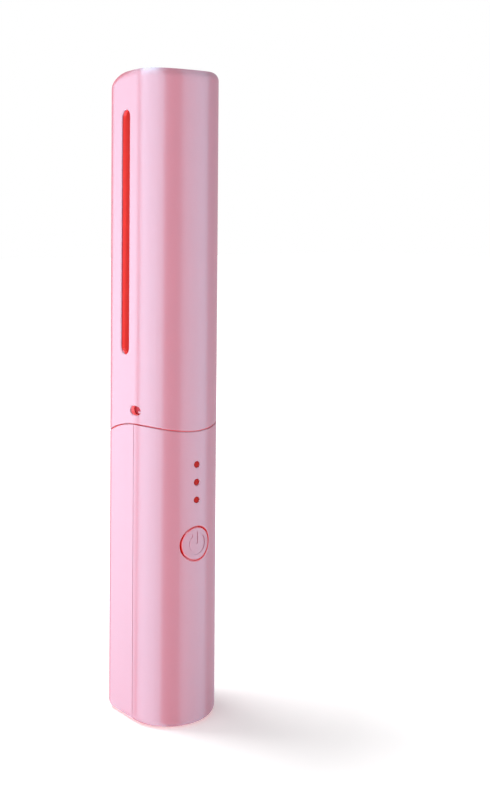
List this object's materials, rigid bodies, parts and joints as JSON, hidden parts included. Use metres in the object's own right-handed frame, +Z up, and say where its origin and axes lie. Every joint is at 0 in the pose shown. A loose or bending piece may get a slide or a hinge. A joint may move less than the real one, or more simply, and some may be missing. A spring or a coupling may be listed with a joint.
{
  "type": "cordless hair straightener",
  "caption": "Slim cordless straightening comb with a heated toothed head, a push button, indicator lamps and a lift-off travel cap.",
  "frame": {"origin": "middle of the flat base, under the middle of the part's width and depth", "axes": "+Z up along the rod towards the cap's end, -Y out of the power button and the lamps, +Y the way the teeth point, X across the width"},
  "size_m": [0.0288, 0.0316, 0.205],
  "materials": {
    "pink_shell": "pearlescent satin paint on moulded ABS",
    "pink_head": "pearlescent satin paint on heat-resistant nylon",
    "pink_button": "pearlescent satin paint on moulded ABS",
    "black_plastic": "moulded, fine matte",
    "red_lens": "smooth, tinted clear moulding",
    "heater_aluminium": "die cast, satin",
    "ceramic": "sintered ceramic, matte",
    "ivory_plastic": "heat-resistant moulding, matte",
    "screw_steel": "zinc plated",
    "glass_bead": "cast clear resin",
    "lead_silicone": "silicone lead insulation",
    "cell_wrap": "heat-shrunk film",
    "nickel": "nickel plated, satin",
    "foam": "closed-cell foam",
    "board_green": "solder mask on glass epoxy",
    "ferrite": "pressed ferrite"
  },
  "bodies": {
    "handle": {"handle_front_shell": "pink_shell", "handle_back_shell": "pink_shell", "head_front_cover": "pink_head", "comb_back": "pink_head", "light_pipe": "red_lens", "heater_bar": "heater_aluminium", "ceramic_heater": "ceramic", "heater_clamp": "ivory_plastic", "heater_screws": "screw_steel", "thermal_fuse": "screw_steel", "thermistor": "glass_bead", "heater_leads": "lead_silicone", "sensor_leads": "lead_silicone", "heat_barrier": "ivory_plastic", "inner_frame": "black_plastic", "battery_cell": "cell_wrap", "battery_end_ring": "ivory_plastic", "battery_plus_tab": "nickel", "battery_minus_tab": "nickel", "battery_pad": "foam", "main_board": "board_green", "board_screws": "screw_steel", "usb_c_shell": "nickel", "usb_c_tongue": "black_plastic", "tact_switch": "black_plastic", "control_chip": "black_plastic", "charge_chip": "black_plastic", "boost_inductor": "ferrite", "heater_mosfet": "black_plastic", "chip_capacitors": "ceramic", "status_led_1": "glass_bead", "status_led_2": "glass_bead", "status_led_3": "glass_bead"},
    "button": {"power_button": "pink_button", "switch_plunger": "black_plastic"},
    "cap": {"cap_shell": "pink_shell"}
  },
  "joints": [
    {"name": "cap_slide", "type": "slide", "parent": "handle", "child": "cap", "axis": [0, 0, 1], "range_m": [0, 0.125]},
    {"name": "button_press", "type": "slide", "parent": "handle", "child": "button", "axis": [0, 1, 0], "range_m": [0, 0.0006], "stiffness_N_per_m": 2500}
  ]
}
